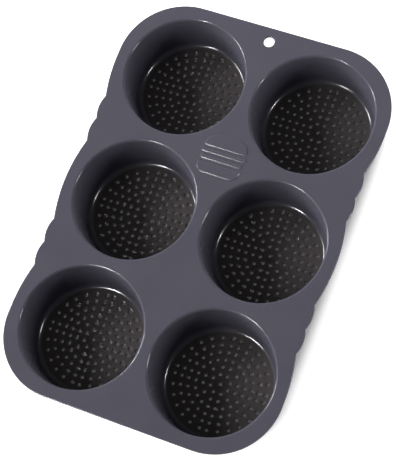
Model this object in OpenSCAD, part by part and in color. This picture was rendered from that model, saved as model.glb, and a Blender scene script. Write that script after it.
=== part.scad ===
// Six-cup bun pan, moulded in one piece of silicone.
// Two columns of three round cups hang from a thin plate with scalloped sides.
// The pan stands on its cup floors: z = 0 is under them, x = y = 0 is the middle,
// and +Y points to the end with the hanging hole.

/* [Cups] */
// Diameter of a cup at the plate, between the straight walls
cup_d = 99; // [93:1:102]
// Diameter of a cup where its straight wall would meet the floor
cup_floor_d = 92; // [82:1:96]
// Depth of a cup, from the top of the plate to its floor
cup_depth = 40; // [25:1:60]
// Distance between the two columns of cups
column_pitch = 110; // [110:1:130]
// Distance between neighbouring rows of cups
row_pitch = 110; // [110:1:130]
// Radius between a cup's wall and its floor, inside
floor_round = 5; // [3:0.5:8]
// Radius of the lip where a cup meets the top of the plate
lip_round = 2; // [1:0.25:3]

/* [Walls] */
// Thickness of the plate
plate_t = 2.2; // [1.6:0.1:4]
// Thickness of the cup walls
wall_t = 2; // [1.2:0.1:3]
// Thickness of the cup floors
floor_t = 2; // [1.2:0.1:4]
// Radius under the plate where a cup's outer wall meets it
under_round = 1.5; // [0.5:0.25:3]

/* [Plate edge] */
// Width of plate left between the cups and its ends and sides
margin = 11; // [9:0.5:20]
// Radius of the plate's four corners
corner_round = 53.5; // [45:0.5:58]
// How far the long side swells beside each cup
side_swell = 4.5; // [3:0.5:7]
// Length of one small scallop between two rows
scallop_l = 20; // [14:1:20]
// How far a small scallop swells
scallop_swell = 2; // [1:0.25:3.5]

/* [Floor holes] */
// Diameter of one hole in a cup floor
hole_d = 2.6; // [1.5:0.1:3.2]
// Radius of the innermost ring of holes
first_ring_r = 7.8; // [7:0.1:9]
// Distance from one ring of holes to the next
ring_step = 5.9; // [5:0.1:6]
// Width of the two straight lanes that cross in the middle of a floor
lane_w = 6; // [5:0.1:7]

/* [Hanging hole] */
// Diameter of the hanging hole
hang_d = 8.7; // [6:0.1:11]
// Distance from the end of the plate to the middle of the hanging hole
hang_inset = 12; // [11:0.5:14]
// Radius of the hole's upper edge
hang_round = 1; // [0.5:0.1:1.5]

/* [Hidden] */
$fn = 96;
// How far a cutter reaches past the face that it opens
over = 1;
// Cups across and along the pan
columns = 2;
rows = 3;
// Holes in a quarter of each ring, from the middle of the floor outwards
quarter_holes = [2, 3, 5, 6, 7, 7];
// Small scallops between two rows
scallops = 2;

// Heights
floor_z = floor_t;
top_z = floor_t + cup_depth;
plate_z = top_z - plate_t;

// A cup's straight wall leans by this angle
cup_lean = atan((cup_d - cup_floor_d) / 2 / cup_depth);
// The outer wall lies this much further out, measured level
wall_level_t = wall_t / cos(cup_lean);

// Places of the cups
column_x = [for (c = [0 : columns - 1]) (c - (columns - 1) / 2) * column_pitch];
row_y = [for (r = [0 : rows - 1]) (r - (rows - 1) / 2) * row_pitch];
corner_x = column_x[columns - 1];
corner_y = row_y[rows - 1];

// The plate reaches this far past the middles of the corner cups
reach = cup_d / 2 + margin;
half_w = corner_x + reach;
half_l = corner_y + reach;
corner_r = min(corner_round, reach);
// Beside a corner cup's middle the side runs straight for this length, up to the corner
straight_l = reach - corner_r;
// The sides fall back to this line at the cusps between their curves
cusp_x = half_w - side_swell;
swell_chord = row_pitch - scallops * scallop_l;
hang_y = half_l - hang_inset;

// Radius of a circle that rises by swell over a chord
function bow_r(chord, swell) = (chord * chord / 4 + swell * swell) / (2 * swell);

// Radius of the straight inner wall at a height
function wall_r(z) = cup_floor_d / 2 + (z - floor_z) * tan(cup_lean);

// Angle of the first hole of a ring, which stands at the edge of the straight lane
function lane_angle(r) = asin(lane_w / 2 / r);

// A curved swelling of the side, on the +X side, with its middle at y
module side_bow(y, chord, swell) {
    r = bow_r(chord, swell);
    intersection() {
        translate([cusp_x + swell - r, y]) circle(r, $fn = 360);
        translate([0, y - chord / 2]) square([half_w, chord]);
    }
}

// The half of the plate's outline with x above 0
module half_outline() {
    translate([0, -half_l]) square([half_w - corner_r, 2 * half_l]);
    translate([0, -corner_y]) square([cusp_x, 2 * corner_y]);
    for (end = [0, 1]) mirror([0, end]) {
        translate([half_w - corner_r, half_l - corner_r]) circle(corner_r, $fn = 180);
        if (straight_l > 0) translate([0, corner_y]) square([half_w, straight_l]);
    }
    intersection() {
        for (y = row_y) side_bow(y, swell_chord, side_swell);
        translate([0, -corner_y]) square([half_w, 2 * corner_y]);
    }
    for (gap = [0 : rows - 2], n = [0 : scallops - 1])
        side_bow((row_y[gap] + row_y[gap + 1]) / 2 + (n - (scallops - 1) / 2) * scallop_l,
            scallop_l, scallop_swell);
}

module plate_blank() {
    translate([0, 0, plate_z]) linear_extrude(plate_t) {
        half_outline();
        mirror([1, 0]) half_outline();
    }
}

// Half section of a tapered, round-bottomed cup, drawn from its axis.
// foot is the radius where its straight wall meets the level z, and round is the corner.
module cup_section(foot, z, round, top) {
    corner = foot - round * (1 - sin(cup_lean)) / cos(cup_lean);
    polygon([[0, z], [corner, z], [corner, z + round],
        [corner + round * cos(cup_lean), z + round - round * sin(cup_lean)],
        [foot + (top - z) * tan(cup_lean), top], [0, top]]);
    translate([corner, z + round]) circle(round);
}

// Half section of the space inside a rounded edge, where a leaning wall turns out to the
// level top. edge is the radius at which the straight wall would meet that level.
module flare_section(edge, lean, round, top) {
    middle = edge + round * (1 - sin(lean)) / cos(lean);
    tangent = [middle - round * cos(lean), top - round + round * sin(lean)];
    difference() {
        polygon([[0, tangent[1]], tangent, [middle, top - round], [middle, top + over],
            [0, top + over]]);
        translate([middle, top - round]) circle(round);
    }
}

// The outside of one cup, with the round under the plate
module cup_body() {
    foot = wall_r(0) + wall_level_t;
    rotate_extrude() {
        cup_section(foot, 0, floor_round + wall_t, plate_z + over);
        flare_section(foot + plate_z * tan(cup_lean), cup_lean, under_round, plate_z);
    }
}

// The hollow of one cup, with its rounded lip
module cup_hollow() {
    rotate_extrude() {
        cup_section(cup_floor_d / 2, floor_z, floor_round, top_z + over);
        flare_section(cup_d / 2, cup_lean, lip_round, top_z);
    }
}

// All the holes of one cup floor
module floor_holes() {
    translate([0, 0, -over]) linear_extrude(floor_t + 2 * over) {
        circle(d = hole_d, $fn = 24);
        for (i = [0 : len(quarter_holes) - 1], quarter = [0 : 3], k = [0 : quarter_holes[i] - 1]) {
            r = first_ring_r + i * ring_step;
            step = (90 - 2 * lane_angle(r)) / (quarter_holes[i] - 1);
            rotate(90 * quarter + lane_angle(r) + k * step) translate([r, 0])
                circle(d = hole_d, $fn = 24);
        }
    }
}

module hanging_hole() {
    translate([0, hang_y, 0]) {
        translate([0, 0, plate_z - over]) cylinder(d = hang_d, h = plate_t + 2 * over);
        rotate_extrude() flare_section(hang_d / 2, 0, hang_round, top_z);
    }
}

// A copy of what follows at the place of each cup
module at_cups() {
    for (x = column_x, y = row_y) translate([x, y, 0]) children();
}

module bun_pan() {
    color("#5a5964") difference() {
        union() {
            plate_blank();
            at_cups() cup_body();
        }
        at_cups() cup_hollow();
        at_cups() floor_holes();
        hanging_hole();
    }
}

bun_pan();
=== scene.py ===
import math

import bmesh
import bpy
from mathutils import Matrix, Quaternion, Vector
from mathutils.geometry import delaunay_2d_cdt


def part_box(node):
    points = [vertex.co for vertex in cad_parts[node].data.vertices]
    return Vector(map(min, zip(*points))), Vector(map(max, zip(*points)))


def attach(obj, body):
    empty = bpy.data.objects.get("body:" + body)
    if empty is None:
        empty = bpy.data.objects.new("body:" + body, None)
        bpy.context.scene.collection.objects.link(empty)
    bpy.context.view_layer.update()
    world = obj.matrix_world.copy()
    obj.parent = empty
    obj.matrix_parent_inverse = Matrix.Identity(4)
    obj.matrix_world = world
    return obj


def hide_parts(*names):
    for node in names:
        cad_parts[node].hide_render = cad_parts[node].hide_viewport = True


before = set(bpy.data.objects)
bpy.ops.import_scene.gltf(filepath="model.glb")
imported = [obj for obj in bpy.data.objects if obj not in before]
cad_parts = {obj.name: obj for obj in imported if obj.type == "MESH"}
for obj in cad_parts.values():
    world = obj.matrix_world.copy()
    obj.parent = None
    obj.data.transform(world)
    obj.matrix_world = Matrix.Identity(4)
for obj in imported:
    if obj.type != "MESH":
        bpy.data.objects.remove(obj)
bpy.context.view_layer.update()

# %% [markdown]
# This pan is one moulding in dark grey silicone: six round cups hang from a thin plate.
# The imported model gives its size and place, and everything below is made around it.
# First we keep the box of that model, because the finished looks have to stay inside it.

low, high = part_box("bun_pan")
print("The pan measures", [round(v * 1000, 1) for v in (high - low)], "mm")

# %% [markdown]
# The sizes are in metres, as everything in Blender here, so each is written in
# millimetres times MM. The plate's length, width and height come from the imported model.
# The others are those that a mould maker would put on the drawing of one cup.

# %% Sizes of the pan
MM = 0.001
TOP = high.z
HALF_WIDTH = high.x
HALF_LENGTH = high.y
COLUMNS = 2
ROWS = 3
PITCH = 110 * MM
MARGIN = 11 * MM
PLATE_T = 2.2 * MM
WALL_T = 2 * MM
FLOOR_T = 2 * MM
PLATE_UNDER = TOP - PLATE_T
CORNER_X = PITCH * (COLUMNS - 1) / 2
CORNER_Y = PITCH * (ROWS - 1) / 2
CUP_R = HALF_WIDTH - CORNER_X - MARGIN
print("A cup is", round(2 * CUP_R / MM, 1), "mm across and",
      round((TOP - FLOOR_T) / MM, 1), "mm deep")

# %% [markdown]
# The camera comes first, so that each piece can be looked at as the photograph shows it.
# It stands high over one side and is rolled, which sets the pan askew in the picture.
# Its place, roll and lens were worked out from the rims, which are circles on a square grid.

# %% Camera
CAMERA_AT = Vector((0.3562, -0.3043, 1.2517))
CAMERA_AIM = Vector((0.0054, -0.0070, 0.0420))
CAMERA_ROLL = math.radians(29.8)
LENS = 149.2
SENSOR_WIDTH = 36

camera = bpy.data.objects.new("camera", bpy.data.cameras.new("camera"))
bpy.context.scene.collection.objects.link(camera)
camera.data.sensor_fit = "HORIZONTAL"
camera.data.sensor_width = SENSOR_WIDTH
camera.data.lens = LENS
camera.data.clip_start = 0.05
camera.location = CAMERA_AT
level_view = (CAMERA_AIM - CAMERA_AT).to_track_quat("-Z", "Y")
camera.rotation_mode = "QUATERNION"
camera.rotation_quaternion = level_view @ Quaternion((0, 0, 1), -CAMERA_ROLL)
bpy.context.scene.camera = camera
print("The camera is", round((CAMERA_AIM - CAMERA_AT).length, 3), "m from the pan")

# %% [markdown]
# The pan is round nearly everywhere, so its outlines are built from arcs.
# One small function gives the points of an arc, and all the others use it.

# %% Arcs
def arc(centre, radius, start, end, steps):
    """Points along an arc about centre, with its angles in degrees."""
    turns = [math.radians(start + (end - start) * i / steps) for i in range(steps + 1)]
    return [(centre[0] + radius * math.cos(t), centre[1] + radius * math.sin(t)) for t in turns]


def circle(centre, radius, steps):
    """Points round a whole circle, without the last, which would repeat the first."""
    return arc(centre, radius, 0, 360, steps)[:-1]


# %% [markdown]
# One cup is turned about its own axis, as its mould was. Its half section has a lip that
# rolls over to the plate, a straight wall that leans a little, and a round into the floor.
# The outside follows the inside at one wall thickness. A modifier could do the turning,
# but a section of arcs keeps the lip and the rounds at their true radius.

# %% Half sections of a cup
FOOT_R = 46 * MM
LIP = 2 * MM
FLOOR_ROUND = 5 * MM
UNDER_ROUND = 1.5 * MM
LIP_STEPS = 7
CORNER_STEPS = 8
LEAN = math.atan((CUP_R - FOOT_R) / (TOP - FLOOR_T))


def round_reach(radius, lean):
    """How far a round between a level face and a leaning wall reaches from their corner."""
    return radius * (1 - math.sin(lean)) / math.cos(lean)


def cup_section(edge, foot, top, floor, upper_round, lower_round):
    """Half section of a cup's skin, from the plate down to the rim of the flat floor."""
    lean = math.degrees(LEAN)
    lip_middle = (edge + round_reach(upper_round, LEAN), top - upper_round)
    foot_middle = (foot - round_reach(lower_round, LEAN), floor + lower_round)
    lip = arc(lip_middle, upper_round, 90, 180 - lean, LIP_STEPS)
    corner = arc(foot_middle, lower_round, -lean, -90, CORNER_STEPS)
    wall = [tuple(Vector(lip[-1]).lerp(Vector(corner[0]), t)) for t in (0.25, 0.5, 0.75)]
    return lip + wall + corner


outer_shift = WALL_T / math.cos(LEAN)
outer_foot = FOOT_R - FLOOR_T * math.tan(LEAN) + outer_shift
outer_edge = outer_foot + PLATE_UNDER * math.tan(LEAN)
inside = cup_section(CUP_R, FOOT_R, TOP, FLOOR_T, LIP, FLOOR_ROUND)
outside = cup_section(outer_edge, outer_foot, PLATE_UNDER, 0, UNDER_ROUND, FLOOR_ROUND + WALL_T)
print("The flat floor is", round(2 * inside[-1][0] / MM, 1), "mm across inside,",
      round(2 * outside[-1][0] / MM, 1), "mm below")

# %% [markdown]
# A half section becomes a wall when it is swept round its axis. A Screw modifier would do
# it as well, but plain rings of points close every seam, and the level sheets that come
# later meet them point for point, because one function places the points of both.

# %% Turning a section
CUP_SIDES = 120


def turn(mesh, section, middle, sides):
    """Adds the surface that a half section sweeps round an upright axis."""
    rings = []
    for radius, height in section:
        ring = [mesh.verts.new((x, y, height)) for x, y in circle(middle, radius, sides)]
        rings.append(ring)
    for upper, lower in zip(rings, rings[1:]):
        for i in range(sides):
            following = (i + 1) % sides
            mesh.faces.new((upper[i], lower[i], lower[following], upper[following]))
    return rings


def new_object(name, mesh_in_work):
    """Makes an object of a mesh that is being built, and ends the building."""
    data = bpy.data.meshes.new(name)
    mesh_in_work.to_mesh(data)
    mesh_in_work.free()
    made = bpy.data.objects.new(name, data)
    bpy.context.scene.collection.objects.link(made)
    return made


cup_mesh = bmesh.new()
turn(cup_mesh, inside, (0, 0), CUP_SIDES)
turn(cup_mesh, outside, (0, 0), CUP_SIDES)
cups = new_object("cups", cup_mesh)
print("The turned walls of one cup have", len(cups.data.polygons), "faces")

# %% [markdown]
# Each floor is pierced by fine holes that let the steam out, in six rings round one
# middle hole. Two straight lanes without holes cross in the middle and part each ring
# into four quarters. Such a pattern is what Geometry Nodes are for: the points come from
# a rule, and one small collar is repeated on them. Small helpers keep the tree short.

# %% Helpers for node trees
def add(tree, kind, inputs=(), **settings):
    """Adds a node. An input is given by its name or number, and is a socket or a value."""
    made = tree.nodes.new(kind)
    for name, value in settings.items():
        setattr(made, name, value)
    for key, value in dict(inputs).items():
        if isinstance(value, bpy.types.NodeSocket):
            tree.links.new(value, made.inputs[key])
        else:
            made.inputs[key].default_value = value
    return made


def maths(tree, operation, *values):
    """The result of a Math node."""
    return add(tree, "ShaderNodeMath", enumerate(values), operation=operation).outputs[0]


def join(tree, *parts):
    """Several geometries as one."""
    joined = tree.nodes.new("GeometryNodeJoinGeometry")
    for part in parts:
        tree.links.new(part, joined.inputs[0])
    return joined.outputs[0]


def new_tree(name, inputs):
    """A tree with a geometry output and the named inputs, and its input and output nodes."""
    tree = bpy.data.node_groups.new(name, "GeometryNodeTree")
    tree.interface.new_socket("Geometry", in_out="OUTPUT", socket_type="NodeSocketGeometry")
    for label, kind in inputs:
        tree.interface.new_socket(label, in_out="INPUT", socket_type="NodeSocket" + kind)
    return tree, tree.nodes.new("NodeGroupInput"), tree.nodes.new("NodeGroupOutput")


# %% [markdown]
# The holes of a ring are spaced by angle, from the edge of one lane to that of the next.
# The first tree makes only the points of one ring. Later these carry both the small
# circles that are left out of the floor and the walls of the holes, so the two always fit.

# %% A ring of holes
def ring_tree():
    """Points of one ring: a quarter's holes are evenly spaced from lane to lane."""
    inputs = [("Radius", "Float"), ("Lane Width", "Float"), ("Holes in a Quarter", "Int")]
    tree, given, result = new_tree("ring of holes", inputs)
    radius = given.outputs["Radius"]
    count = given.outputs["Holes in a Quarter"]
    index = add(tree, "GeometryNodeInputIndex").outputs[0]
    quarter = maths(tree, "FLOOR", maths(tree, "DIVIDE", index, count))
    place = maths(tree, "SUBTRACT", index, maths(tree, "MULTIPLY", quarter, count))
    half_lane = maths(tree, "MULTIPLY", given.outputs["Lane Width"], 0.5)
    lane_angle = maths(tree, "ARCSINE", maths(tree, "DIVIDE", half_lane, radius))
    span = maths(tree, "SUBTRACT", math.pi / 2, maths(tree, "MULTIPLY", lane_angle, 2.0))
    step = maths(tree, "DIVIDE", span, maths(tree, "SUBTRACT", count, 1.0))
    angle = maths(tree, "MULTIPLY_ADD", place, step, lane_angle)
    angle = maths(tree, "MULTIPLY_ADD", quarter, math.pi / 2, angle)
    x = maths(tree, "MULTIPLY", radius, maths(tree, "COSINE", angle))
    y = maths(tree, "MULTIPLY", radius, maths(tree, "SINE", angle))
    spot = add(tree, "ShaderNodeCombineXYZ", {"X": x, "Y": y}).outputs[0]
    total = maths(tree, "MULTIPLY", count, 4.0)
    points = add(tree, "GeometryNodePoints", {"Count": total, "Position": spot})
    tree.links.new(points.outputs[0], result.inputs[0])
    return tree


ring_of_holes = ring_tree()
print("The ring tree has", len(ring_of_holes.nodes), "nodes")

# %% [markdown]
# The floor is a filled curve: a border circle with a small circle left out at each point.
# The same sheet serves as the underside, and a collar joins the two at each hole. The
# slopes of its soft mouths are what catches the light in so small a hole. Last, the
# finished cup is repeated on a grid of two by three points.

# %% The pierced floors and the six cups
RINGS = 6
HOLE_SIDES = 12
MOUTH_SLOPE = 0.5
WELD = 0.01 * MM
# A tube of three segments has its end rows at half its depth and the others at a sixth
TUBE_SEGMENTS = 3
BETWEEN_ROWS = 0.3


def collar(tree, given):
    """The wall of one hole, with a wide and shallow mouth at both ends."""
    thickness = given.outputs["Floor Thickness"]
    radius = maths(tree, "MULTIPLY", given.outputs["Hole Diameter"], 0.5)
    tube = add(tree, "GeometryNodeMeshCylinder",
               {"Vertices": HOLE_SIDES, "Side Segments": TUBE_SEGMENTS,
                "Radius": radius, "Depth": thickness}, fill_type="NONE").outputs["Mesh"]
    place = add(tree, "GeometryNodeInputPosition").outputs[0]
    parts = add(tree, "ShaderNodeSeparateXYZ", {0: place}).outputs
    end_row = maths(tree, "GREATER_THAN", maths(tree, "ABSOLUTE", parts["Z"]),
                    maths(tree, "MULTIPLY", thickness, BETWEEN_ROWS))
    inner_row = maths(tree, "SUBTRACT", 1.0, end_row)
    edge = given.outputs["Hole Edge"]
    wider = maths(tree, "MULTIPLY_ADD", end_row, maths(tree, "DIVIDE", edge, radius), 1.0)
    drop = maths(tree, "MULTIPLY", maths(tree, "MULTIPLY", edge, MOUTH_SLOPE), inner_row)
    reach = maths(tree, "SUBTRACT", maths(tree, "MULTIPLY", thickness, 0.5), drop)
    height = maths(tree, "MULTIPLY", reach, maths(tree, "SIGN", parts["Z"]))
    spot = add(tree, "ShaderNodeCombineXYZ",
               {"X": maths(tree, "MULTIPLY", parts["X"], wider),
                "Y": maths(tree, "MULTIPLY", parts["Y"], wider),
                "Z": height}).outputs[0]
    shaped = add(tree, "GeometryNodeSetPosition", {"Geometry": tube, "Position": spot})
    lift = add(tree, "ShaderNodeCombineXYZ", {"Z": maths(tree, "MULTIPLY", thickness, 0.5)})
    return add(tree, "GeometryNodeTransform",
               {"Geometry": shaped.outputs[0], "Translation": lift.outputs[0]}).outputs[0]


def on_points(tree, points, shape):
    """A copy of a shape at each point, as real geometry."""
    copies = add(tree, "GeometryNodeInstanceOnPoints", {"Points": points, "Instance": shape})
    return add(tree, "GeometryNodeRealizeInstances", {0: copies.outputs[0]}).outputs[0]


def cups_tree():
    """Pierces the floor of the cup that comes in, and repeats it over the pan."""
    sizes = ("Hole Diameter", "Hole Edge", "First Ring", "Ring Step", "Lane Width",
             "Floor Radius", "Floor Thickness", "Pitch")
    inputs = [("Cup", "Geometry")] + [(size, "Float") for size in sizes]
    inputs += [(f"Ring {i + 1} Quarter", "Int") for i in range(RINGS)]
    tree, given, result = new_tree("pierced cups", inputs + [("Material", "Material")])
    radius = given.outputs["First Ring"]
    rings = [add(tree, "GeometryNodePoints", {"Count": 1}).outputs[0]]
    for i in range(RINGS):
        ring = add(tree, "GeometryNodeGroup", node_tree=ring_of_holes)
        tree.links.new(radius, ring.inputs["Radius"])
        tree.links.new(given.outputs["Lane Width"], ring.inputs["Lane Width"])
        tree.links.new(given.outputs[f"Ring {i + 1} Quarter"], ring.inputs["Holes in a Quarter"])
        rings.append(ring.outputs[0])
        radius = maths(tree, "ADD", radius, given.outputs["Ring Step"])
    points = join(tree, *rings)
    mouth = maths(tree, "MULTIPLY_ADD",
                  given.outputs["Hole Diameter"], 0.5, given.outputs["Hole Edge"])
    small = add(tree, "GeometryNodeCurvePrimitiveCircle",
                {"Resolution": HOLE_SIDES, "Radius": mouth})
    border = add(tree, "GeometryNodeCurvePrimitiveCircle",
                 {"Resolution": CUP_SIDES, "Radius": given.outputs["Floor Radius"]})
    circles = join(tree, on_points(tree, points, small.outputs[0]), border.outputs[0])
    underside = add(tree, "GeometryNodeFillCurve", {0: circles}, mode="TRIANGLES").outputs[0]
    lift = add(tree, "ShaderNodeCombineXYZ", {"Z": given.outputs["Floor Thickness"]}).outputs[0]
    upper = add(tree, "GeometryNodeTransform",
                {"Geometry": underside, "Translation": lift}).outputs[0]
    collars = on_points(tree, points, collar(tree, given))
    cup = join(tree, given.outputs["Cup"], upper, underside, collars)
    welded = add(tree, "GeometryNodeMergeByDistance", {"Geometry": cup, "Distance": WELD}).outputs[0]
    across = maths(tree, "MULTIPLY", given.outputs["Pitch"], float(COLUMNS - 1))
    along = maths(tree, "MULTIPLY", given.outputs["Pitch"], float(ROWS - 1))
    grid = add(tree, "GeometryNodeMeshGrid",
               {"Size X": across, "Size Y": along, "Vertices X": COLUMNS, "Vertices Y": ROWS})
    six = on_points(tree, grid.outputs["Mesh"], welded)
    painted = add(tree, "GeometryNodeSetMaterial",
                  {"Geometry": six, "Material": given.outputs["Material"]}).outputs[0]
    tree.links.new(painted, result.inputs[0])
    return tree


pierced_cups = cups_tree()
print("The cup tree has", len(pierced_cups.nodes), "nodes")

# %% [markdown]
# The silicone is one satin material for the whole moulding. Its dark grey leans to
# violet, but up to the top of the pierced floors its tone is warmer and nearly neutral, so
# the tone changes with the height. A slow cloudiness in its colour and gloss, and a very
# fine grain from the blasted mould, keep the large flat plate from looking like painted
# metal. The level faces shine less than the lips and rounds: a small lamp draws thin glints
# on those, and on the plate it leaves only a soft sheen where its mirror image would be.

# %% Silicone
SILICONE = (0.094, 0.092, 0.118)
# The tone up to the top of the floors, warmer and nearly neutral
FLOOR_TONE = (0.110, 0.098, 0.099)
TONE_FADE = 0.5 * MM
SILICONE_ROUGHNESS = 0.17
SHINE = 0.5
LEVEL_SHINE = 0.08
LEVEL_TILT = math.radians(5)
ROUND_TILT = math.radians(11)
CLOUD_SCALE = 28.0
CLOUD_SPREAD = 0.04
GLOSS_SCALE = 60.0
GLOSS_SPREAD = 0.03
GRAIN_SCALE = 1800.0
GRAIN_STRENGTH = 0.25
GRAIN_HEIGHT = 0.02 * MM


def noise(tree, place, scale, detail):
    """The value of a noise pattern, with its scale in features per metre."""
    return add(tree, "ShaderNodeTexNoise",
               {"Vector": place, "Scale": scale, "Detail": detail}).outputs[0]


def spread(tree, value, middle, reach):
    """A noise value, which mostly lies from 0.3 to 0.7, spread about a middle value."""
    return add(tree, "ShaderNodeMapRange",
               {"Value": value, "From Min": 0.3, "From Max": 0.7,
                "To Min": middle - reach, "To Max": middle + reach}).outputs[0]


def mixed(tree, share, first, second):
    """A colour between two. The colours of a Mix node are its inputs 6 and 7."""
    return add(tree, "ShaderNodeMix", {0: share, 6: (*first, 1), 7: (*second, 1)},
               data_type="RGBA").outputs[2]


def silicone_material():
    """Satin silicone with a cloudy colour and gloss, duller level faces and a fine grain."""
    material = bpy.data.materials.new("silicone")
    material.use_nodes = True
    tree = material.node_tree
    shader = tree.nodes["Principled BSDF"]
    place = add(tree, "ShaderNodeTexCoord").outputs["Object"]
    height = add(tree, "ShaderNodeSeparateXYZ", {0: place}).outputs["Z"]
    above = add(tree, "ShaderNodeMapRange",
                {"Value": height, "From Min": FLOOR_T, "From Max": FLOOR_T + TONE_FADE},
                interpolation_type="SMOOTHSTEP").outputs[0]
    grey = mixed(tree, above, FLOOR_TONE, SILICONE)
    value = spread(tree, noise(tree, place, CLOUD_SCALE, 3.0), 1.0, CLOUD_SPREAD)
    tone = add(tree, "ShaderNodeHueSaturation", {"Value": value, "Color": grey})
    tree.links.new(tone.outputs[0], shader.inputs["Base Color"])
    gloss = spread(tree, noise(tree, place, GLOSS_SCALE, 2.0), SILICONE_ROUGHNESS, GLOSS_SPREAD)
    tree.links.new(gloss, shader.inputs["Roughness"])
    facing = add(tree, "ShaderNodeNewGeometry").outputs["Normal"]
    upright = maths(tree, "ABSOLUTE", add(tree, "ShaderNodeSeparateXYZ", {0: facing}).outputs["Z"])
    shine = add(tree, "ShaderNodeMapRange",
                {"Value": upright, "From Min": math.cos(ROUND_TILT), "From Max": math.cos(LEVEL_TILT),
                 "To Min": SHINE, "To Max": LEVEL_SHINE}, interpolation_type="SMOOTHSTEP").outputs[0]
    tree.links.new(shine, shader.inputs["Specular IOR Level"])
    grain = noise(tree, place, GRAIN_SCALE, 2.0)
    bump = add(tree, "ShaderNodeBump",
               {"Strength": GRAIN_STRENGTH, "Distance": GRAIN_HEIGHT, "Height": grain}).outputs[0]
    tree.links.new(bump, shader.inputs["Normal"])
    return material


silicone = silicone_material()
print("The silicone has", len(silicone.node_tree.nodes), "nodes")

# %% [markdown]
# Now the tree gets its sizes. A modifier keeps each input under the identifier of its
# socket, so the sizes are put there by that identifier before the cup is worked out.
# The result is then copied out as a plain mesh, and the modifier goes.

# %% The six cups
CUP_SIZES = {
    "Hole Diameter": 2.6 * MM,
    "Hole Edge": 0.75 * MM,
    "First Ring": 7.8 * MM,
    "Ring Step": 5.9 * MM,
    "Lane Width": 6.0 * MM,
    "Floor Radius": inside[-1][0],
    "Floor Thickness": FLOOR_T,
    "Pitch": PITCH,
    "Material": silicone,
}
QUARTER_HOLES = (2, 3, 5, 6, 7, 7)
for i, holes in enumerate(QUARTER_HOLES):
    CUP_SIZES[f"Ring {i + 1} Quarter"] = holes


def plain_mesh(source):
    """What an object looks like with its modifiers, as a mesh of its own."""
    evaluated = source.evaluated_get(bpy.context.evaluated_depsgraph_get())
    return bpy.data.meshes.new_from_object(evaluated)


modifier = cups.modifiers.new("pierced cups", "NODES")
modifier.node_group = pierced_cups
for socket in pierced_cups.interface.items_tree:
    if socket.in_out == "INPUT" and socket.name in CUP_SIZES:
        modifier[socket.identifier] = CUP_SIZES[socket.name]
cups_mesh = plain_mesh(cups)
bpy.data.objects.remove(cups)
print("Six pierced cups have", len(cups_mesh.polygons), "faces and",
      ROWS * COLUMNS * (1 + 4 * sum(QUARTER_HOLES)), "holes")

# %% [markdown]
# The plate's outline has straight ends, large round corners, one long swelling beside
# each cup and two small scallops between them. They are all arcs, joined by short straight
# lines. Each arc also knows how to shrink, so one function gives the outline at any inset,
# point for point, and rings of it make the rounded edge. Each notch has a small round.

# %% Outline of the plate
CORNER_R = 53.5 * MM
SIDE_SWELL = 4.5 * MM
SCALLOP_L = 20 * MM
SCALLOP_SWELL = 2 * MM
SCALLOPS = 2
NOTCH_ROUND = 0.7 * MM
CUSP_X = HALF_WIDTH - SIDE_SWELL
SWELL_CHORD = PITCH - SCALLOPS * SCALLOP_L
PLATE_CORNER_STEPS = 30
SWELL_STEPS = 18
SCALLOP_STEPS = 10
NOTCH_STEPS = 4


def bow(y, chord, swell):
    """The middle and radius of an arc that bows out from the cusp line over a chord."""
    radius = (chord * chord / 4 + swell * swell) / (2 * swell)
    return Vector((CUSP_X + swell - radius, y)), radius


def side_bows():
    """The bows down one side, from the middle of a corner cup to that of the other."""
    bows = []
    for row in range(ROWS - 1, -1, -1):
        y = (row - (ROWS - 1) / 2) * PITCH
        bows.append((*bow(y, SWELL_CHORD, SIDE_SWELL), SWELL_STEPS))
        if row > 0:
            first = y - PITCH / 2 + (SCALLOPS - 1) / 2 * SCALLOP_L
            bows += [(*bow(first - n * SCALLOP_L, SCALLOP_L, SCALLOP_SWELL), SCALLOP_STEPS)
                     for n in range(SCALLOPS)]
    return bows


def notch(upper, lower):
    """The middle of the small round that joins two bows, outside both."""
    (a, radius_a, _), (b, radius_b, _) = upper, lower
    reach_a = radius_a + NOTCH_ROUND
    reach_b = radius_b + NOTCH_ROUND
    apart = b - a
    along = (reach_a ** 2 - reach_b ** 2 + apart.length_squared) / (2 * apart.length)
    aside = math.sqrt(reach_a ** 2 - along ** 2)
    way = apart.normalized()
    return a + way * along + Vector((-way.y, way.x)) * aside


def bearing(start, end):
    """Angle of the way from one point to another, in degrees."""
    return math.degrees(math.atan2(end.y - start.y, end.x - start.x))


def side_outline(inset):
    """The right side of the plate, from its upper to its lower end, drawn in by an inset."""
    corner = Vector((HALF_WIDTH - CORNER_R, HALF_LENGTH - CORNER_R))
    bows = side_bows()
    notches = [notch(a, b) for a, b in zip(bows, bows[1:])]
    points = arc(corner, CORNER_R - inset, 90, 0, PLATE_CORNER_STEPS)
    for i, (middle, radius, steps) in enumerate(bows):
        start = 0 if i == 0 else bearing(middle, notches[i - 1])
        end = 0 if i == len(bows) - 1 else bearing(middle, notches[i])
        points += arc(middle, radius - inset, start, end, steps)
        if i < len(bows) - 1:
            away = bearing(notches[i], middle) % 360
            back = bearing(notches[i], bows[i + 1][0]) % 360
            points += arc(notches[i], NOTCH_ROUND + inset, away, back, NOTCH_STEPS)[1:-1]
    points += arc((corner.x, -corner.y), CORNER_R - inset, 0, -90, PLATE_CORNER_STEPS)
    return points


def plate_outline(inset):
    """The whole outline of the plate, clockwise from above."""
    right = side_outline(inset)
    return right + [(-x, -y) for x, y in right]


print("The outline has", len(plate_outline(0)), "points")

# %% [markdown]
# Between the upper four cups the pan carries a small raised figure. Ours is a plain sign
# for what is baked here: a domed half, two bars and a lower half. Each of the four is a
# polygon with round corners that stands half a millimetre proud, with soft flanks, so
# light catches the edges that face it. They shrink by an inset as the outline does.

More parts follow.
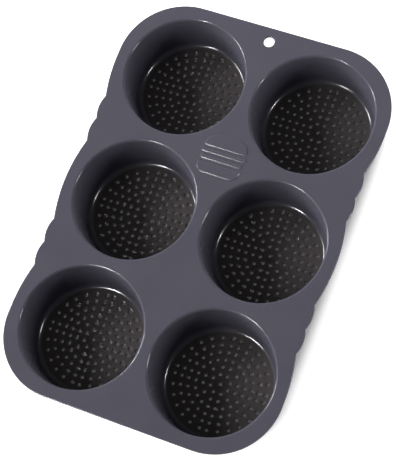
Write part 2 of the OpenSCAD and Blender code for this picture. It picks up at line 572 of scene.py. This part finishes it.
# %% The raised figure
FIGURE_Y = PITCH / 2
FIGURE = {
    "dome": [(-18, 6, 1.2), (18, 6, 1.2), (16.6, 12.6, 6), (8, 17.6, 14),
             (-8, 17.6, 14), (-16.6, 12.6, 6)],
    "upper bar": [(-19, 0.4, 1.4), (19, 0.4, 1.4), (19, 3.6, 1.4), (-19, 3.6, 1.4)],
    "lower bar": [(-17.5, -5.2, 1.4), (17.5, -5.2, 1.4), (17.5, -2.0, 1.4), (-17.5, -2.0, 1.4)],
    "lower half": [(-16.8, -16.6, 6), (16.8, -16.6, 6), (18, -7.6, 1.2), (-18, -7.6, 1.2)],
}
FIGURE_FLANK = [(-0.5, 0.0), (-0.3, 0.04), (-0.1, 0.17), (0.1, 0.33), (0.3, 0.46), (0.5, 0.5)]


def rounded_polygon(corners, inset, steps=5):
    """Points of a convex polygon with round corners, drawn in by an inset."""
    points = []
    for i, (x, y, radius) in enumerate(corners):
        here = Vector((x, y))
        before = (Vector(corners[i - 1][:2]) - here).normalized()
        after = (Vector(corners[(i + 1) % len(corners)][:2]) - here).normalized()
        half = before.angle(after) / 2
        middle = here + (before + after).normalized() * radius / math.sin(half)
        sweep = 180 - 2 * math.degrees(half)
        start = bearing(Vector((0, 0)), Vector((before.y, -before.x)) * -1)
        points += arc(middle, radius - inset, start, start + sweep, steps)
    return points


def figure_outline(name, inset):
    """One part of the figure at its place on the pan, in metres."""
    return [(x * MM, y * MM + FIGURE_Y) for x, y in rounded_polygon(FIGURE[name], inset)]


print("The figure has", len(FIGURE), "parts")

# %% [markdown]
# The plate is closed in three steps: rings of the outline make its rounded edge, a
# turned section lines the hanging hole, and two level sheets fill what is left, with the
# cups, the hole and the figure left out. A constrained triangulation fills a sheet with
# holes in one go.

# %% The plate
EDGE_ROUND = 0.7 * MM
HANG_R = 4.35 * MM
HANG_ROUND = 1 * MM
HANG_UNDER_ROUND = 0.3 * MM
HANG_Y = HALF_LENGTH - 12 * MM
HANG_SIDES = 48
EDGE_STEPS = 4
HANG_STEPS = 5
HANG_UNDER_STEPS = 2
# The kind of triangulation that keeps the faces inside the border and leaves its holes out
WITHOUT_HOLES = 2


def stack(mesh, outlines):
    """Joins outlines of equal length, one above the other, and returns their points."""
    rings = [[mesh.verts.new(point) for point in ring] for ring in outlines]
    for upper, lower in zip(rings, rings[1:]):
        for i in range(len(upper)):
            following = (i + 1) % len(upper)
            mesh.faces.new((upper[i], lower[i], lower[following], upper[following]))
    return rings


def at_height(points, height):
    """Flat points as points in space."""
    return [(x, y, height) for x, y in points]


def fill(mesh, loops, height):
    """A level sheet bounded by the first loop, with the others left out."""
    flat = [Vector(point) for loop in loops for point in loop]
    borders = []
    for loop in loops:
        start = sum(len(border) for border in borders)
        borders.append(list(range(start, start + len(loop))))
    places, _, faces, *_ = delaunay_2d_cdt(flat, [], borders, WITHOUT_HOLES, WELD / 10)
    corners = [mesh.verts.new((*place, height)) for place in places]
    for face in faces:
        mesh.faces.new([corners[i] for i in face])


def edge_rings():
    """The plate's edge, from its upper sheet round to its lower one."""
    upper = arc((EDGE_ROUND, TOP - EDGE_ROUND), EDGE_ROUND, 90, 180, EDGE_STEPS)
    lower = arc((EDGE_ROUND, PLATE_UNDER + EDGE_ROUND), EDGE_ROUND, 180, 270, EDGE_STEPS)
    return [at_height(plate_outline(inset), height) for inset, height in upper + lower]


plate_mesh = bmesh.new()
stack(plate_mesh, edge_rings())
hang_upper = arc((HANG_R + HANG_ROUND, TOP - HANG_ROUND), HANG_ROUND, 90, 180, HANG_STEPS)
hang_lower = arc((HANG_R + HANG_UNDER_ROUND, PLATE_UNDER + HANG_UNDER_ROUND),
                 HANG_UNDER_ROUND, 180, 270, HANG_UNDER_STEPS)
turn(plate_mesh, hang_upper + hang_lower, (0, HANG_Y), HANG_SIDES)
for part in FIGURE:
    flanks = [at_height(figure_outline(part, inset), TOP + rise * MM)
              for inset, rise in FIGURE_FLANK]
    stack(plate_mesh, flanks)
    fill(plate_mesh, [figure_outline(part, FIGURE_FLANK[-1][0])], TOP + FIGURE_FLANK[-1][1] * MM)
print("The plate's edge, hole and figure have", len(plate_mesh.faces), "faces")

# %% [markdown]
# The two level sheets lie between the plate's outline, the six cups and the hanging hole.
# Only the upper one also leaves out the figure, whose parts have their own flanks and tops.

# %% The two sheets of the plate
cup_places = [((c - (COLUMNS - 1) / 2) * PITCH, (r - (ROWS - 1) / 2) * PITCH)
              for c in range(COLUMNS) for r in range(ROWS)]


def sheet_loops(cup_radius, hang_radius):
    """What bounds a sheet of the plate: its outline, the cups and the hanging hole."""
    loops = [plate_outline(EDGE_ROUND)]
    loops += [circle(place, cup_radius, CUP_SIDES) for place in cup_places]
    loops.append(circle((0, HANG_Y), hang_radius, HANG_SIDES))
    return loops


upper_loops = sheet_loops(inside[0][0], HANG_R + HANG_ROUND)
upper_loops += [figure_outline(part, FIGURE_FLANK[0][0]) for part in FIGURE]
fill(plate_mesh, upper_loops, TOP)
fill(plate_mesh, sheet_loops(outside[0][0], HANG_R + HANG_UNDER_ROUND), PLATE_UNDER)
print("The whole plate has", len(plate_mesh.faces), "faces")

# %% [markdown]
# Plate and cups are now welded into one closed skin, as the real pan is one moulding.
# The normals are worked out afresh after the weld, and the edges that are left open are
# counted. Weighted normals then keep the flat faces flat beside their small rounds.

# %% One closed pan
plate_mesh.from_mesh(cups_mesh)
bmesh.ops.remove_doubles(plate_mesh, verts=plate_mesh.verts, dist=WELD)
bmesh.ops.recalc_face_normals(plate_mesh, faces=plate_mesh.faces)
open_edges = sum(1 for edge in plate_mesh.edges if not edge.is_manifold)
volume = plate_mesh.calc_volume(signed=True)
for face in plate_mesh.faces:
    face.smooth = True
    face.material_index = 0
rough_pan = new_object("rough_pan", plate_mesh)
rough_pan.modifiers.new("flat faces stay flat", "WEIGHTED_NORMAL")
pan = bpy.data.objects.new("pan", plain_mesh(rough_pan))
bpy.context.scene.collection.objects.link(pan)
bpy.data.objects.remove(rough_pan)
pan.data.materials.clear()
pan.data.materials.append(silicone)
triangles = sum(len(face.vertices) - 2 for face in pan.data.polygons)
print("The pan has", triangles, "triangles,", open_edges, "open edges and a volume of",
      round(volume * 1e6, 1), "cubic centimetres")

# %% [markdown]
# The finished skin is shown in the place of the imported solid, which stays as the shape that
# things collide with. The pan has no joint, so it rides on the only body.

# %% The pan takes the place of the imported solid
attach(pan, "root")
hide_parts("bun_pan")
print("The pan rides on the root body")

# %% [markdown]
# The pan stands on a plain white floor. Where the camera or a reflection meets it, the floor
# adds some light of its own and comes up to white, and it keeps the soft shadow.
# Under the pan that light fades out, so the holes show the dim floor below them.

# %% Floor
FLOOR_SIZE = 12.0
FLOOR_GLOW = 0.84
DIM_GLOW = 0.022
GLOW_FADE = 15 * MM


def floor_material():
    """White, with a light of its own that is strong round the pan and faint under it."""
    material = bpy.data.materials.new("white_floor")
    material.use_nodes = True
    tree = material.node_tree
    paint = tree.nodes["Principled BSDF"]
    paint.inputs["Base Color"].default_value = (0.9, 0.9, 0.9, 1)
    paint.inputs["Roughness"].default_value = 0.8
    place = add(tree, "ShaderNodeTexCoord").outputs["Object"]
    parts = add(tree, "ShaderNodeSeparateXYZ", {0: place}).outputs
    corner = HALF_WIDTH - CORNER_X
    beyond = []
    for axis, reach in (("X", CORNER_X), ("Y", CORNER_Y)):
        past = maths(tree, "SUBTRACT", maths(tree, "ABSOLUTE", parts[axis]), reach)
        beyond.append(maths(tree, "POWER", maths(tree, "MAXIMUM", past, 0.0), 2.0))
    distance = maths(tree, "SQRT", maths(tree, "ADD", *beyond))
    clear = add(tree, "ShaderNodeMapRange",
                {"Value": distance, "From Min": corner - GLOW_FADE, "From Max": corner,
                 "To Min": DIM_GLOW, "To Max": FLOOR_GLOW}, interpolation_type="SMOOTHSTEP").outputs[0]
    ray = add(tree, "ShaderNodeLightPath").outputs
    seen = maths(tree, "MAXIMUM", ray["Is Camera Ray"], ray["Is Glossy Ray"])
    seen = maths(tree, "MAXIMUM", seen, ray["Is Transmission Ray"])
    strength = maths(tree, "MULTIPLY", seen, clear)
    glow = add(tree, "ShaderNodeEmission", {"Strength": strength}).outputs[0]
    both = add(tree, "ShaderNodeAddShader", {0: paint.outputs[0], 1: glow}).outputs[0]
    tree.links.new(both, tree.nodes["Material Output"].inputs["Surface"])
    return material


floor_mesh = bmesh.new()
bmesh.ops.create_grid(floor_mesh, x_segments=1, y_segments=1, size=FLOOR_SIZE / 2)
floor = new_object("floor", floor_mesh)
floor.data.materials.append(floor_material())
print("The floor is", FLOOR_SIZE, "m wide")

# %% [markdown]
# The light is that of a small product studio. Large soft lamps stand low, most of them to
# the left of the pan, so that the left wall of a cup shades half its floor. They are kept
# out of the reflections, as a polariser would do. Three small sparks do the opposite: they
# draw the thin glints on the lips, the rounds, the figure and the mouths of the holes.
# A spark shows in a reflection, but its nodes keep it out of the reflection of a
# reflection, which would put a blotch on the wall of a cup.

# %% Lamps
# In a first reflection a lamp is met at ray depth 1 or 2. A later reflection that the lamp's
# own limit on bounces lets through meets it at 3 or more.
GLINT_DEPTH = 2.5


def soft_lamp(name, azimuth, height, distance, width, tall, power):
    """A flat lamp that looks at the pan from an azimuth and an elevation in degrees."""
    data = bpy.data.lights.new(name, "AREA")
    data.shape = "RECTANGLE"
    data.size = width
    data.size_y = tall
    data.energy = power
    lamp = bpy.data.objects.new(name, data)
    bpy.context.scene.collection.objects.link(lamp)
    flat = distance * math.cos(math.radians(height))
    turned = math.radians(azimuth)
    lamp.location = (flat * math.cos(turned), flat * math.sin(turned),
                     distance * math.sin(math.radians(height)))
    lamp.rotation_euler = (-lamp.location).to_track_quat("-Z", "Y").to_euler()
    return lamp


def keep_first_glint(data):
    """Lets a lamp show in a reflection, but not in the reflection of a reflection."""
    data.cycles.max_bounces = 0
    data.use_nodes = True
    tree = data.node_tree
    depth = add(tree, "ShaderNodeLightPath").outputs["Ray Depth"]
    first = maths(tree, "LESS_THAN", depth, GLINT_DEPTH)
    tree.links.new(first, tree.nodes["Emission"].inputs["Strength"])


SOFT = [soft_lamp("left_lamp", 183, 27, 3.0, 1.2, 1.2, 84),
        soft_lamp("front_lamp", 235, 29, 3.0, 1.2, 1.2, 38),
        soft_lamp("low_lamp", 216, 15, 3.0, 0.9, 0.9, 36),
        soft_lamp("right_lamp", 15, 14, 1.0, 0.35, 0.35, 4.6),
        soft_lamp("back_lamp", 102, 15, 0.7, 0.7, 0.25, 3.6)]
for lamp in SOFT:
    lamp.visible_glossy = False
    lamp.visible_camera = False
SPARKS = [soft_lamp("left_spark", 176, 45, 0.91, 0.18, 0.18, 3.6),
          soft_lamp("front_spark", 238, 47, 0.85, 0.16, 0.16, 5.0),
          soft_lamp("right_spark", 14, 46, 1.0, 0.14, 0.14, 2.8)]
for spark in SPARKS:
    spark.visible_diffuse = False
    spark.visible_camera = False
    keep_first_glint(spark.data)
print(len(SOFT), "soft lamps and", len(SPARKS), "small ones light the pan")

# %% [markdown]
# To the camera the room is white, so the background is white in every view. To the pan it
# is dim, which keeps the insides of the cups deep.

# %% World and colour
WORLD_LIGHT = 0.085
world = bpy.data.worlds.new("studio")
world.use_nodes = True
seen_directly = add(world.node_tree, "ShaderNodeLightPath").outputs["Is Camera Ray"]
strength = maths(world.node_tree, "MULTIPLY_ADD", seen_directly, 1 - WORLD_LIGHT, WORLD_LIGHT)
background = world.node_tree.nodes["Background"]
background.inputs["Color"].default_value = (1, 1, 1, 1)
world.node_tree.links.new(strength, background.inputs["Strength"])
bpy.context.scene.world = world
bpy.context.scene.view_settings.view_transform = "Standard"
print("The room's own light is", WORLD_LIGHT)
